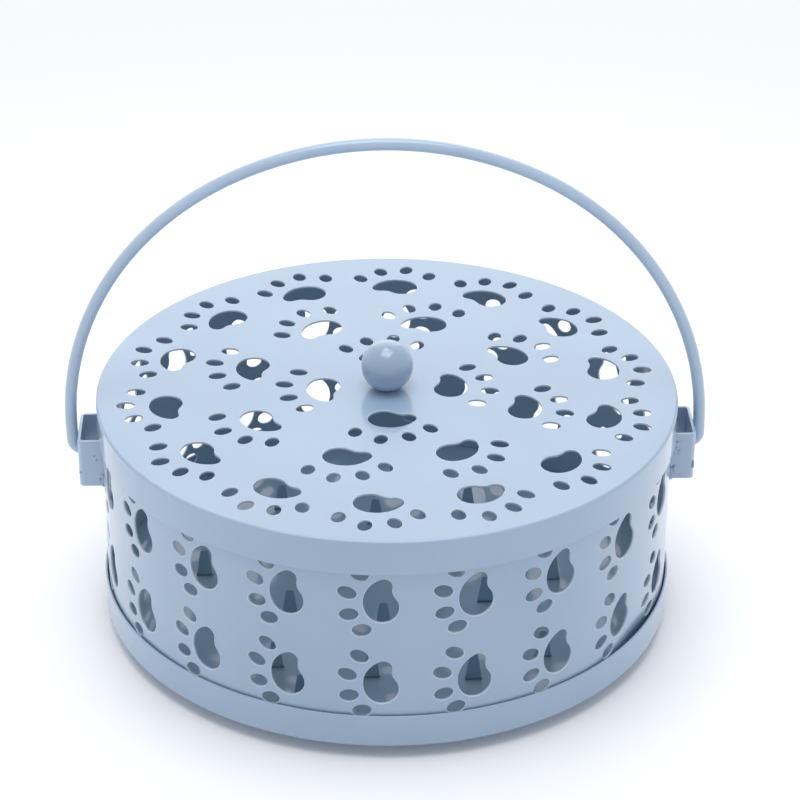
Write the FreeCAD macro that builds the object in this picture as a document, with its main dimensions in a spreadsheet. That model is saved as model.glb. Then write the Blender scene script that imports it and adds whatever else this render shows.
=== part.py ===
import FreeCAD, Part

import math
import os

import Sketcher

# Mosquito coil holder: a round box of painted sheet steel with paw-print cut-outs. A tray with
# bent-up tabs carries the burning coil, a rolled wall stands in the tray, a lid with a ball knob
# lifts off, and a wire bail swings on two strap brackets welded to the wall.
# Frame: +Z up, origin on the table under the tray's centre, the two brackets on the X axis.

doc = FreeCAD.newDocument("mosquito_coil_holder")
sheet = doc.addObject("Spreadsheet::Sheet", "Sizes")

# Driving sizes in millimetres, degrees or counts: name, value, what it measures
DRIVING = [
    ("box_height", "65.4", "table to the lid's top face"),
    ("lid_radius", "82.5", "outside of the lid's skirt"),
    ("lid_sheet", "0.7", "lid metal"),
    ("lid_skirt", "10.3", "lid's top face down to the skirt's edge"),
    ("lid_clearance", "0.4", "skirt to wall, all round"),
    ("lid_edge", "1.2", "bevel that stands for the lid's round edge"),
    ("wall_sheet", "0.7", "wall metal"),
    ("wall_flats", "40", "short flats that the rolled strip is drawn with"),
    ("rim_gap", "0.25", "wall to the tray's rim, all round"),
    ("tray_sheet", "0.7", "tray metal"),
    ("tray_height", "10", "table to the tray's rim"),
    ("tray_edge", "0.6", "bevel that stands for the tray's round bottom edge"),
    ("tab_length", "8", "coil tab above the floor, and its slot"),
    ("tab_foot_width", "4", "coil tab at its bend"),
    ("tab_tip_width", "1.8", "coil tab at its tip"),
    ("slot_saw", "0.2", "slot wider than its tab on each side"),
    ("outer_paws", "14", "paws in the outer ring"),
    ("middle_paws", "8", "paws in the middle ring"),
    ("inner_paws", "4", "paws in the inner ring"),
    ("lid_toe_reach", "12.2", "pad centre to a far toe's centre, on the lid"),
    ("wall_toe_reach", "10.3", "pad centre to a far toe's centre, on the wall"),
    ("toe_half_length", "2.95", "toe along its long axis"),
    ("toe_half_width", "2.15", "toe across its long axis"),
    ("pad_lobe", "4.8", "radius of the pad's big lobe"),
    ("pad_heel", "2.5", "radius of the pad's small lobe"),
    ("pad_lobe_side", "1.8", "pad centre to the big lobe, sideways"),
    ("pad_heel_side", "4.9", "pad centre to the small lobe, sideways"),
    ("pad_drop", "0.8", "small lobe behind the pad's centre"),
    ("pad_crown", "5", "pad centre to the crown of its front edge"),
    ("wall_columns", "20", "paws round the wall"),
    ("low_row", "19.9", "table to the lower row's pads"),
    ("row_pitch", "26", "lower row to upper row"),
    ("column_offset", "4", "front column's pads left of the front"),
    ("knob_radius", "7.4", "ball knob"),
    ("knob_lift", "7", "lid to the ball's centre"),
    ("knob_flats", "16", "flats round the ball"),
    ("screw_radius", "2", "knob screw's shank"),
    ("screw_clearance", "0.15", "round the shank, in the lid and in the knob"),
    ("screw_grip", "8", "shank inside the knob"),
    ("screw_head_radius", "3.9", "pan head"),
    ("screw_head_height", "2.2", "pan head"),
    ("screw_head_edge", "0.7", "bevel of the pan head"),
    ("screw_flats", "12", "flats that the screw is drawn with"),
    ("bracket_depth", "6.2", "wall to the bracket's outer face"),
    ("bracket_width", "15.6", "bracket across, outside its legs"),
    ("bracket_height", "14.5", "strap's width, which stands upright"),
    ("bracket_sheet", "0.9", "strap metal"),
    ("bracket_bend", "1.5", "outer radius of the strap's bends"),
    ("bracket_drop", "1.4", "skirt's edge down to the bracket's top"),
    ("weld_radius", "1.3", "weld bead across"),
    ("weld_flats", "8", "flats that a bead is drawn with"),
    ("weld_half_length", "1.7", "weld bead along the leg"),
    ("tack_half_length", "3", "tack at the wall's foot, along the wall"),
    ("tack_count", "4", "tacks round the wall's foot"),
    ("bail_wire", "3.4", "bail wire's diameter"),
    ("bail_side_gap", "0.55", "bracket's face to the wire"),
    ("bail_bend", "3.2", "radius of the wire's bend into the bracket"),
    ("bail_leg", "7.6", "pivot to the end of the straight leg"),
    ("bail_inset", "4.15", "box axis to the centre of each shoulder's bend"),
    ("bail_swell", "9.15", "how much larger the crown's radius is than the shoulders'"),
    ("pivot_clearance", "0.5", "round the wire in the bracket's hole"),
    ("tip_gap", "1.9", "wire's end to the wall"),
    ("cut_overrun", "1", "how far a cut runs past what it cuts"),
]

# Sizes that follow from the driving ones
DERIVED = [
    ("wall_radius", "=lid_radius - lid_sheet - lid_clearance", "outside of the wall"),
    ("wall_top", "=box_height - lid_sheet", "the lid lies on it"),
    ("tray_radius", "=wall_radius + rim_gap + tray_sheet", "outside of the tray"),
    ("skirt_edge", "=box_height - lid_skirt", "lowest edge of the lid"),
    ("bracket_top", "=skirt_edge - bracket_drop", "upper edge of the brackets"),
    ("bracket_base", "=bracket_top - bracket_height", "lower edge of the brackets"),
    ("bracket_reach", "=wall_radius + bracket_depth", "box axis to the bracket's outer face"),
    ("pivot_height", "=bracket_base + bracket_height / 2", "bail's axis, level and along X"),
    ("bail_half_span", "=bracket_reach + bail_side_gap + bail_wire / 2", "centre of the legs"),
    ("bail_shoulder", "=bail_half_span - bail_inset", "radius of the bail's two shoulders"),
    ("bail_crown", "=bail_shoulder + bail_swell", "radius of the bail's crown"),
    ("tip_reach", "=wall_radius + tip_gap", "box axis to the wire's ends"),
    ("lid_bore", "=screw_radius + screw_clearance", "screw hole in the lid"),
]

for row, (name, text, note) in enumerate(DRIVING + DERIVED, start=1):
    sheet.set(f"A{row}", name)
    sheet.set(f"B{row}", text)
    sheet.setAlias(f"B{row}", name)
    sheet.set(f"C{row}", note)
doc.recompute()

# Where the paws and tabs lie. Angles are in degrees from +X, counter-clockwise from above.
# The lid's rings: name, share of the lid's radius out to the pads, first paw, a paw's own turn
RING_SHARES = [("outer", 0.765, 8.7, 0), ("middle", 0.49, 27.1, 13.6), ("inner", 0.22, 1.4, -3.5)]
# A paw's four toes: share of the toe reach, place on the fan, tilt of the long axis
TOE_SHARES = [(1.0, -53, -10), (0.93, -13, -10), (0.89, 28, 18), (1.0, 66, 30)]
WALL_FAN_TURN = -10
TOE_CORNERS = 5
# A pad's corners: angles on its big lobe and on its small one, then shares for its crown
LOBE_CORNERS, HEEL_CORNERS = (155, 213, 270, 318), (-88, -12, 62)
CROWN_SHARES = [(0.62, 0.86), (-0.42, 0.99)]
# The wall's flats are turned so that their edges pass between the columns and clear of the pads
WALL_TURN = 2.5
# The punch starts inside the wall, at this share of its radius
PUNCH_START_SHARE = 0.9
WIRE_CORNERS = 6
WIRE_CORNER_SHARE = 0.55
BALL_BANDS = 8
# Coil tabs, as shares of the wall's radius: their slots point to -Y, as they were punched
TAB_SHARES = [
    (-0.40, -0.54), (-0.07, -0.61), (0.28, -0.63), (0.53, -0.50), (-0.31, -0.74),
    (-0.35, -0.22), (-0.02, -0.31), (0.35, -0.15), (0.60, -0.01), (-0.66, 0.05),
    (-0.03, 0.39), (0.32, 0.47), (-0.38, 0.50), (0.62, 0.36), (0.06, 0.74),
]


def size(name):
    """Return a size of the sheet as a number."""
    return float(sheet.get(name))


def value(shares):
    """Return a length that is given as shares of named sizes."""
    return sum(share * size(name) for name, share in shares.items())


def formula(shares):
    """Return the same length as an expression on the sheet."""
    return " + ".join(f"{share:.6f} * Sizes.{name}" for name, share in shares.items())


def bind(item, **properties):
    """Tie properties to expressions on the sheet, such as Height="wall_top - tray_sheet"."""
    for key, text in properties.items():
        words = [f"Sizes.{word}" if "_" in word else word for word in text.split(" ")]
        item.setExpression(key.replace("__", "."), " ".join(words))


def upright_turn(angle):
    """Return a turn about the Z axis."""
    return FreeCAD.Rotation(FreeCAD.Vector(0, 0, 1), angle)


def plane(body, role):
    """Return one of a body's own origin planes or axes by its role."""
    return next(item for item in body.Origin.OriginFeatures if item.Role == role)


def new_body(name):
    """Return a new body whose label names the sub-part."""
    body = doc.addObject("PartDesign::Body", name)
    body.Label = name
    return body


def new_sketch(body, name, role):
    """Return a sketch on one of the body's origin planes."""
    sketch = body.newObject("Sketcher::SketchObject", name)
    sketch.AttachmentSupport = [(plane(body, role), "")]
    sketch.MapMode = "FlatFace"
    return sketch


def place_point(sketch, line, end, across, up):
    """Hold one end of a line at a place given as two sets of shares."""
    for kind, shares in (("DistanceX", across), ("DistanceY", up)):
        number = sketch.addConstraint(Sketcher.Constraint(kind, -1, 1, line, end, value(shares)))
        sketch.setExpression(f"Constraints[{number}]", formula(shares))


def outline(sketch, *shapes):
    """Draw closed outlines through corners, each corner a pair of sets of shares."""
    lines, joints, places = [], [], []
    for corners in shapes:
        points = [FreeCAD.Vector(value(across), value(up), 0) for across, up in corners]
        first = len(lines)
        for number, (across, up) in enumerate(corners):
            after = (number + 1) % len(corners)
            lines.append(Part.LineSegment(points[number], points[after]))
            joints.append(Sketcher.Constraint("Coincident", first + number, 2, first + after, 1))
            places.append((first + number, "DistanceX", across))
            places.append((first + number, "DistanceY", up))
    sketch.addGeometry(lines)
    sketch.addConstraint(joints)
    held = [Sketcher.Constraint(kind, -1, 1, line, 1, value(shares))
            for line, kind, shares in places]
    numbers = sketch.addConstraint(held)
    for number, (line, kind, shares) in zip(numbers, places):
        sketch.setExpression(f"Constraints[{number}]", formula(shares))


def turned(out, side, angle):
    """Return a place, given as sets of shares outward and sideways, turned by an angle."""
    cosine, sine = math.cos(math.radians(angle)), math.sin(math.radians(angle))
    names = list(dict.fromkeys([*out, *side]))
    across = {name: cosine * out.get(name, 0) - sine * side.get(name, 0) for name in names}
    up = {name: sine * out.get(name, 0) + cosine * side.get(name, 0) for name in names}
    return across, up


def moved(shares, more):
    """Return shares with others added."""
    names = list(dict.fromkeys([*shares, *more]))
    return {name: shares.get(name, 0) + more.get(name, 0) for name in names}


def ring_point(radius, angle):
    """Return a point on a circle, as sets of shares of its radius."""
    turn = math.radians(angle)
    return {radius: math.cos(turn)}, {radius: math.sin(turn)}


def toe_corners(reach, share, place, tilt):
    """Return a toe's corners, outward and sideways of the pad's centre."""
    centre = ring_point(reach, place)
    corners = []
    for number in range(TOE_CORNERS):
        turn = 2 * math.pi * number / TOE_CORNERS
        out = {"toe_half_length": math.cos(turn)}
        side = {"toe_half_width": math.sin(turn)}
        out, side = turned(out, side, tilt)
        shares_out = {reach: share * centre[0][reach]}
        shares_side = {reach: share * centre[1][reach]}
        corners.append((moved(shares_out, out), moved(shares_side, side)))
    return corners


def pad_corners():
    """Return the pad's corners, outward and sideways: big lobe, small lobe and crown."""
    corners = []
    for angle in LOBE_CORNERS:
        side, out = ring_point("pad_lobe", angle)
        corners.append((out, moved(side, {"pad_lobe_side": -1})))
    for angle in HEEL_CORNERS:
        side, out = ring_point("pad_heel", angle)
        corners.append((moved(out, {"pad_drop": -1}), moved(side, {"pad_heel_side": 1})))
    for side_share, crown_share in CROWN_SHARES:
        corners.append(({"pad_crown": crown_share}, {"pad_heel_side": side_share}))
    return corners


def paw(reach, fan_turn, turn, middle, mirrored):
    """Return the outlines of one paw about a middle point; a mirrored one points to the left on an upright wall."""
    shapes = [pad_corners()]
    for share, place, tilt in TOE_SHARES:
        shapes.append(toe_corners(reach, share, place + fan_turn, tilt))
    drawn = []
    for corners in shapes:
        placed = []
        for out, side in corners:
            across, up = turned(out, side, turn)
            if mirrored:
                across = {name: -share for name, share in across.items()}
            placed.append((moved(middle[0], across), moved(middle[1], up)))
        drawn.append(placed)
    return drawn


def revolve(body, corners):
    """Revolve an outline, given as radius and height, about the body's Z axis."""
    sketch = new_sketch(body, body.Name + "_profile", "XZ_Plane")
    outline(sketch, corners)
    turn = body.newObject("PartDesign::Revolution", body.Name + "_turn")
    turn.Profile = sketch
    turn.ReferenceAxis = (sketch, ["V_Axis"])
    turn.Angle = 360
    doc.recompute()
    return turn


def pocket(body, sketch, name, reverse):
    """Cut a sketch through everything on one side of its plane."""
    cut = body.newObject("PartDesign::Pocket", name)
    cut.Profile = sketch
    cut.Type = "ThroughAll"
    cut.Reversed = reverse
    cut.Refine = False
    doc.recompute()
    return cut


def polar(body, feature, count, name):
    """Repeat a cut round the body's Z axis."""
    pattern = body.newObject("PartDesign::PolarPattern", name)
    pattern.Originals = [feature]
    pattern.Axis = (plane(body, "Z_Axis"), [""])
    pattern.Angle = 360
    pattern.Refine = False
    bind(pattern, Occurrences=count)
    body.Tip = pattern
    doc.recompute()
    return pattern


def make_lid():
    """The lid: a drawn disc with a skirt, three rings of paws and the knob's screw hole."""
    body = new_body("lid")
    under = {"box_height": 1, "lid_sheet": -1}
    edge = {"box_height": 1, "lid_skirt": -1}
    inside = {"lid_radius": 1, "lid_sheet": -1}
    revolve(body, [
        ({"lid_bore": 1}, under),
        ({"lid_bore": 1}, {"box_height": 1}),
        ({"lid_radius": 1, "lid_edge": -1}, {"box_height": 1}),
        ({"lid_radius": 1}, {"box_height": 1, "lid_edge": -1}),
        ({"lid_radius": 1}, edge),
        (inside, edge),
        (inside, under),
    ])
    for name, share, start, turn_angle in RING_SHARES:
        sketch = new_sketch(body, f"lid_{name}_paw", "XY_Plane")
        across, up = ring_point("lid_radius", start)
        across["lid_radius"] *= share
        up["lid_radius"] *= share
        outline(sketch, *paw("lid_toe_reach", 0, start + turn_angle, (across, up), False))
        cut = pocket(body, sketch, f"lid_{name}_cut", True)
        polar(body, cut, f"{name}_paws", f"lid_{name}_circle")
    return body


def make_wall():
    """The wall: a rolled strip that stands on the tray's floor, with two rows of paws."""
    body = new_body("wall_band")
    outside = body.newObject("PartDesign::AdditivePrism", "wall_outside")
    bind(outside, Polygon="wall_flats", Circumradius="wall_radius",
         Height="wall_top - tray_sheet", Placement__Base__z="tray_sheet")
    inside = body.newObject("PartDesign::SubtractivePrism", "wall_inside")
    bind(inside, Polygon="wall_flats", Circumradius="wall_radius - wall_sheet",
         Height="wall_top + cut_overrun")
    for prism in (outside, inside):
        prism.Placement.Rotation = upright_turn(WALL_TURN)
    sketch = new_sketch(body, "wall_paws", "XZ_Plane")
    bind(sketch, AttachmentOffset__Base__z=f"{PUNCH_START_SHARE} * wall_radius")
    paws = []
    for row_share in (0, 1):
        middle = ({"column_offset": -1}, {"low_row": 1, "row_pitch": row_share})
        paws += paw("wall_toe_reach", WALL_FAN_TURN, 0, middle, True)
    outline(sketch, *paws)
    doc.recompute()
    cut = pocket(body, sketch, "wall_cut", True)
    polar(body, cut, "wall_columns", "wall_circle")
    return body


def make_tray():
    """The base tray: a pressed dish whose floor is punched and bent up into coil tabs."""
    dish = new_body("tray_dish")
    inside = {"tray_radius": 1, "tray_sheet": -1}
    revolve(dish, [
        ({"tray_radius": 0}, {"tray_sheet": 0}),
        ({"tray_radius": 1, "tray_edge": -1}, {"tray_sheet": 0}),
        ({"tray_radius": 1}, {"tray_edge": 1}),
        ({"tray_radius": 1}, {"tray_height": 1}),
        (inside, {"tray_height": 1}),
        (inside, {"tray_sheet": 1}),
        ({"tray_radius": 0}, {"tray_sheet": 1}),
    ])
    tabs, slots = [], []
    for number, (across, back) in enumerate(TAB_SHARES):
        for kind, saw, group in (("tab", "0", tabs), ("slot", "slot_saw", slots)):
            blade = doc.addObject("Part::Wedge", f"{kind}_{number}")
            bind(blade, Xmax=f"tab_foot_width / 2 + {saw}", Xmin=f"tab_foot_width / -2 - {saw}",
                 X2max=f"tab_tip_width / 2 + {saw}", X2min=f"tab_tip_width / -2 - {saw}",
                 Placement__Base__x=f"{across} * wall_radius",
                 Placement__Base__y=f"{back} * wall_radius")
            blade.Ymin = 0
            group.append(blade)
        tab, slot = tabs[-1], slots[-1]
        tab.Placement.Rotation = FreeCAD.Rotation(FreeCAD.Vector(1, 0, 0), 90)
        bind(tab, Ymax="tab_length + tray_sheet", Zmin="-1 * tray_sheet", Z2min="-1 * tray_sheet")
        tab.Zmax = tab.Z2max = 0
        slot.Placement.Rotation = upright_turn(180)
        bind(slot, Ymax="tab_length + slot_saw", Zmin="-1 * cut_overrun", Z2min="-1 * cut_overrun",
             Zmax="tray_sheet + cut_overrun", Z2max="tray_sheet + cut_overrun")
    slot_set = doc.addObject("Part::Compound", "tray_slots")
    slot_set.Links = slots
    punched = doc.addObject("Part::Cut", "tray_punched")
    punched.Base = dish
    punched.Tool = slot_set
    tray = doc.addObject("Part::MultiFuse", "base_tray")
    tray.Shapes = [punched, *tabs]
    tray.Label = "base_tray"
    return tray


def make_knob():
    """The knob: a ball in short flats, with a flat seat, tapped from below."""
    count = int(size("knob_flats"))
    radius, lift = size("knob_radius"), size("knob_lift")
    low = -math.asin(lift / radius)
    rings = []
    for band in range(BALL_BANDS):
        rise = low + (math.pi / 2 - low) * band / BALL_BANDS
        ring = []
        for number in range(count):
            turn = 2 * math.pi * number / count
            reach = radius * math.cos(rise)
            height = size("box_height") + lift + radius * math.sin(rise)
            ring.append(FreeCAD.Vector(reach * math.cos(turn), reach * math.sin(turn), height))
        rings.append(ring)
    top = FreeCAD.Vector(0, 0, size("box_height") + lift + radius)
    faces = [flat_face(rings[0])]
    for number in range(count):
        after = (number + 1) % count
        for below, above in zip(rings, rings[1:]):
            faces.append(flat_face([below[number], below[after], above[after], above[number]]))
        faces.append(flat_face([rings[-1][number], rings[-1][after], top]))
    ball = doc.addObject("Part::Feature", "knob_ball")
    ball.Shape = Part.Solid(Part.Shell(faces))
    bore = doc.addObject("Part::Prism", "knob_bore")
    bind(bore, Polygon="screw_flats", Circumradius="lid_bore",
         Height="screw_grip + screw_clearance + cut_overrun",
         Placement__Base__z="box_height - cut_overrun")
    knob = doc.addObject("Part::Cut", "knob")
    knob.Base = ball
    knob.Tool = bore
    knob.Label = "knob"
    return knob


def flat_face(points):
    """Return the flat face through points."""
    return Part.Face(Part.makePolygon([*points, points[0]]))


def make_screw():
    """The knob's screw: a pan head against the lid's underside and a shank up into the ball."""
    body = new_body("knob_screw")
    head = body.newObject("PartDesign::AdditivePrism", "screw_head")
    bind(head, Polygon="screw_flats", Circumradius="screw_head_radius",
         Height="screw_head_height",
         Placement__Base__z="box_height - lid_sheet - screw_head_height")
    doc.recompute()
    rim = []
    for index, edge in enumerate(head.Shape.Edges, start=1):
        if abs(edge.BoundBox.ZMax - head.Placement.Base.z) < 1e-4:
            rim.append(f"Edge{index}")
    bevel = body.newObject("PartDesign::Chamfer", "screw_head_bevel")
    bevel.Base = (head, rim)
    bind(bevel, Size="screw_head_edge")
    shank = body.newObject("PartDesign::AdditivePrism", "screw_shank")
    bind(shank, Polygon="screw_flats", Circumradius="screw_radius",
         Height="lid_sheet + screw_grip", Placement__Base__z="box_height - lid_sheet")
    return body


def make_bracket(name, turn):
    """A bracket: a strap bent to a U, open above and below, with the bail's pivot hole."""
    body = new_body(name)
    half = {"bracket_width": 0.5}
    negative = {"bracket_width": -0.5}
    inner_half = {"bracket_width": 0.5, "bracket_sheet": -1}
    inner_negative = {"bracket_width": -0.5, "bracket_sheet": 1}
    foot = {"wall_radius": 1, "cut_overrun": -2}
    inner_face = {"bracket_reach": 1, "bracket_sheet": -1}
    sketch = new_sketch(body, name + "_strap", "XY_Plane")
    outline(sketch, [
        (foot, negative), ({"bracket_reach": 1}, negative), ({"bracket_reach": 1}, half),
        (foot, half), (foot, inner_half), (inner_face, inner_half),
        (inner_face, inner_negative), (foot, inner_negative),
    ])
    bind(sketch, AttachmentOffset__Base__z="bracket_base")
    pad = body.newObject("PartDesign::Pad", name + "_pad")
    pad.Profile = sketch
    bind(pad, Length="bracket_height")
    doc.recompute()
    base = pad
    bends = [("outer", {"bracket_reach": 1}, "bracket_bend"),
             ("inner", inner_face, "bracket_bend - bracket_sheet")]
    for place, reach, text in bends:
        corner = value(reach)
        names = []
        for index, edge in enumerate(base.Shape.Edges, start=1):
            box = edge.BoundBox
            if abs(box.XMin - corner) < 1e-4 and box.XLength < 1e-4 > box.YLength:
                names.append(f"Edge{index}")
        bend = body.newObject("PartDesign::Fillet", f"{name}_{place}_bends")
        bend.Base = (base, names)
        bind(bend, Radius=text)
        doc.recompute()
        base = bend
    seat = body.newObject("PartDesign::SubtractivePrism", name + "_seat")
    bind(seat, Polygon="wall_flats", Circumradius="wall_radius", Height="box_height")
    seat.Placement.Rotation = upright_turn(WALL_TURN - turn)
    hole_sketch = new_sketch(body, name + "_hole_circle", "YZ_Plane")
    hole_sketch.addGeometry(Part.Circle(FreeCAD.Vector(0, size("pivot_height"), 0),
                                        FreeCAD.Vector(0, 0, 1), size("bail_wire")))
    hole_sketch.addConstraint(Sketcher.Constraint("PointOnObject", 0, 3, -2))
    place = hole_sketch.addConstraint(Sketcher.Constraint("DistanceY", -1, 1, 0, 3, 1))
    hole_sketch.setExpression(f"Constraints[{place}]", "Sizes.pivot_height")
    girth = hole_sketch.addConstraint(Sketcher.Constraint("Radius", 0, 1))
    hole_sketch.setExpression(f"Constraints[{girth}]",
                              "Sizes.bail_wire / 2 + Sizes.pivot_clearance")
    doc.recompute()
    pocket(body, hole_sketch, name + "_hole", True)
    body.Placement.Rotation = upright_turn(turn)
    return body


def make_welds(name, bracket, turn):
    """Four weld beads that join a bracket's legs to the wall, near their ends."""
    beads = []
    outward = round(math.cos(math.radians(turn)))
    for side in (-1, 1):
        for end, place in enumerate(("bracket_base", "bracket_top - 2 * weld_half_length")):
            bead = doc.addObject("Part::Prism", f"{name}_{end}_{side + 1}")
            bind(bead, Polygon="weld_flats", Circumradius="weld_radius",
                 Height="2 * weld_half_length", Placement__Base__z=place,
                 Placement__Base__x=f"{outward} * sqrt( wall_radius ^ 2 - "
                                    "bracket_width ^ 2 / 4 )",
                 Placement__Base__y=f"{side} * ( bracket_width / 2 + weld_radius / 2 )")
            beads.append(bead)
    together = doc.addObject("Part::Compound", name + "_beads")
    together.Links = beads
    core = wall_core(name + "_core", "wall_radius")
    stock = doc.addObject("Part::Compound", name + "_stock")
    stock.Links = [bracket, core]
    welds = doc.addObject("Part::Cut", name)
    welds.Base = together
    welds.Tool = stock
    welds.Label = name
    return welds


def wall_core(name, radius):
    """Return a solid block with the wall's flats, from the tray's floor up."""
    core = doc.addObject("Part::Prism", name)
    bind(core, Polygon="wall_flats", Circumradius=radius, Height="box_height",
         Placement__Base__z="tray_sheet")
    core.Placement.Rotation = upright_turn(WALL_TURN)
    return core


def make_tacks():
    """Tacks that hold the wall's foot to the tray's floor, inside the wall."""
    beads = []
    count = int(size("tack_count"))
    for number in range(count):
        angle = 360 * (number + 0.5) / count
        bead = doc.addObject("Part::Prism", f"tack_{number}")
        along = f"tack_half_length * {math.sin(math.radians(angle)):.6f}"
        back = f"tack_half_length * {math.cos(math.radians(angle)):.6f}"
        bind(bead, Polygon="weld_flats", Circumradius="weld_radius",
             Height="2 * tack_half_length", Placement__Base__z="tray_sheet",
             Placement__Base__x=f"cos( {angle} ) * ( wall_radius - wall_sheet ) + {along}",
             Placement__Base__y=f"sin( {angle} ) * ( wall_radius - wall_sheet ) - {back}")
        bead.Placement.Rotation = upright_turn(angle) * FreeCAD.Rotation(
            FreeCAD.Vector(1, 0, 0), -90)
        beads.append(bead)
    together = doc.addObject("Part::Compound", "tack_beads")
    together.Links = beads
    tacks = doc.addObject("Part::Common", "wall_foot_tacks")
    tacks.Base = together
    tacks.Tool = wall_core("tack_room", "wall_radius - wall_sheet")
    tacks.Label = "wall_foot_tacks"
    return tacks


def make_bail():
    """The bail: one wire bent to two straight legs, two shoulders and a crown."""
    body = new_body("bail_handle")
    span, bend = size("bail_half_span"), size("bail_bend")
    shoulder, crown = size("bail_shoulder"), size("bail_crown")
    pivot = size("pivot_height")
    leg_top = pivot + size("bail_leg")
    meet = math.acos((span - shoulder) / (crown - shoulder))
    crown_height = leg_top - (crown - shoulder) * math.sin(meet)
    path = new_sketch(body, "bail_path", "XZ_Plane")
    up = FreeCAD.Vector(0, 0, 1)

    def arc(centre_x, centre_y, radius, start, end):
        circle = Part.Circle(FreeCAD.Vector(centre_x, centre_y, 0), up, radius)
        return path.addGeometry(Part.ArcOfCircle(circle, start, end))

    def line(start_x, start_y, end_x, end_y):
        ends = FreeCAD.Vector(start_x, start_y, 0), FreeCAD.Vector(end_x, end_y, 0)
        return path.addGeometry(Part.LineSegment(*ends))

    right = [
        line(size("tip_reach"), pivot, span - bend, pivot),
        arc(span - bend, pivot + bend, bend, -math.pi / 2, 0),
        line(span, pivot + bend, span, leg_top),
        arc(span - shoulder, leg_top, shoulder, 0, meet),
    ]
    top = arc(0, crown_height, crown, meet, math.pi - meet)
    left = [
        arc(shoulder - span, leg_top, shoulder, math.pi - meet, math.pi),
        line(-span, leg_top, -span, pivot + bend),
        arc(bend - span, pivot + bend, bend, math.pi, 3 * math.pi / 2),
        line(bend - span, pivot, -size("tip_reach"), pivot),
    ]
    chain = [*right, top, *left]
    for before, after in zip(chain, chain[1:]):
        path.addConstraint(Sketcher.Constraint("Tangent", before, 2, after, 1))
    for item, radius in ((right[1], "bail_bend"), (right[3], "bail_shoulder"),
                         (top, "bail_crown"), (left[0], "bail_shoulder"),
                         (left[2], "bail_bend")):
        number = path.addConstraint(Sketcher.Constraint("Radius", item, size(radius)))
        path.setExpression(f"Constraints[{number}]", f"Sizes.{radius}")
    tip, height = {"tip_reach": 1}, {"pivot_height": 1}
    place_point(path, right[0], 1, tip, height)
    place_point(path, left[3], 2, {"tip_reach": -1}, height)
    place_point(path, right[2], 2, {"bail_half_span": 1}, {"pivot_height": 1, "bail_leg": 1})
    place_point(path, left[1], 1, {"bail_half_span": -1}, {"pivot_height": 1, "bail_leg": 1})
    wire = new_sketch(body, "bail_section", "YZ_Plane")
    bind(wire, AttachmentOffset__Base__z="tip_reach")
    corners = []
    for number in range(WIRE_CORNERS):
        across, rise = ring_point("bail_wire", 360 * (number + 0.5) / WIRE_CORNERS)
        across = {"bail_wire": WIRE_CORNER_SHARE * across["bail_wire"]}
        rise = {"bail_wire": WIRE_CORNER_SHARE * rise["bail_wire"], "pivot_height": 1}
        corners.append((across, rise))
    outline(wire, corners)
    doc.recompute()
    sweep = body.newObject("PartDesign::AdditivePipe", "bail_sweep")
    sweep.Profile = wire
    sweep.Spine = path
    doc.recompute()
    return body


def check_and_write(items):
    """Stop on any failed object or bad shape, then write each sub-part to its own file."""
    doc.recompute()
    for item in doc.Objects:
        if "Invalid" in item.State or "Error" in item.State:
            raise RuntimeError(f"{item.Label} failed: {item.State}")
    for item in items:
        if item.Shape.isNull() or not item.Shape.isValid() or not item.Shape.Solids:
            raise RuntimeError(f"{item.Label} has no valid solid")
    os.makedirs("parts", exist_ok=True)
    for item in items:
        item.Shape.exportStep(f"parts/{item.Label}.step")
        print(f"{item.Label}: {len(item.Shape.Solids)} solid(s), {item.Shape.Volume:.1f} mm3")


left_bracket = make_bracket("left_bracket", 180)
right_bracket = make_bracket("right_bracket", 0)
parts = [
    make_tray(),
    make_wall(),
    make_tacks(),
    make_lid(),
    make_knob(),
    make_screw(),
    left_bracket,
    right_bracket,
    make_welds("left_bracket_welds", left_bracket, 180),
    make_welds("right_bracket_welds", right_bracket, 0),
    make_bail(),
]
check_and_write(parts)
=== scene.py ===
"""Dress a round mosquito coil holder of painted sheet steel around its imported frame.

The holder is a punched wall that stands in a dished tray, a punched lid with a ball knob, and a
wire bail on two strap brackets. Lengths in the classes are millimetres, and meshes are metres.
"""

import logging
import math
from dataclasses import dataclass
from enum import Enum
from typing import Callable, Iterable, Sequence

import bmesh
import bpy
from mathutils import Matrix, Vector, noise

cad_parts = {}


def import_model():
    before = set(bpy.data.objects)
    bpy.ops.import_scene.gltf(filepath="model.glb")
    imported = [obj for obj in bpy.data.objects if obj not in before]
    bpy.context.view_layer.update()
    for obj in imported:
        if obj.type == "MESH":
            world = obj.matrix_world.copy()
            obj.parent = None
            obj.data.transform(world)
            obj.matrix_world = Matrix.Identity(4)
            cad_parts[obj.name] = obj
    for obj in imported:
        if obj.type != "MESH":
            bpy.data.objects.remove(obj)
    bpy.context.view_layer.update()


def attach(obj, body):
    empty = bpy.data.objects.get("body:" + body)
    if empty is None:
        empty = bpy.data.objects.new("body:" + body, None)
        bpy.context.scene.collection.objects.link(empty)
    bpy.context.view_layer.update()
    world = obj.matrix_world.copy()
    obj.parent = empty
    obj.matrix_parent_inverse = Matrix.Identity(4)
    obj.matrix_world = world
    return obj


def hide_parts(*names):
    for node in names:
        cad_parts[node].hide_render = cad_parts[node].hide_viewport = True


LOG = logging.getLogger("coil_holder")
MM = 0.001
TAU = 2 * math.pi
# Places closer than this, in millimetres, are the same
NEAR = 1e-4

Point = tuple[float, float]
Outline = list[Point]
Place = tuple[float, float, float]
Move = Callable[[Vector], Vector]
Mesh = bmesh.types.BMesh
Material = bpy.types.Material
Tree = bpy.types.NodeTree
Piece = bpy.types.Object


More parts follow.
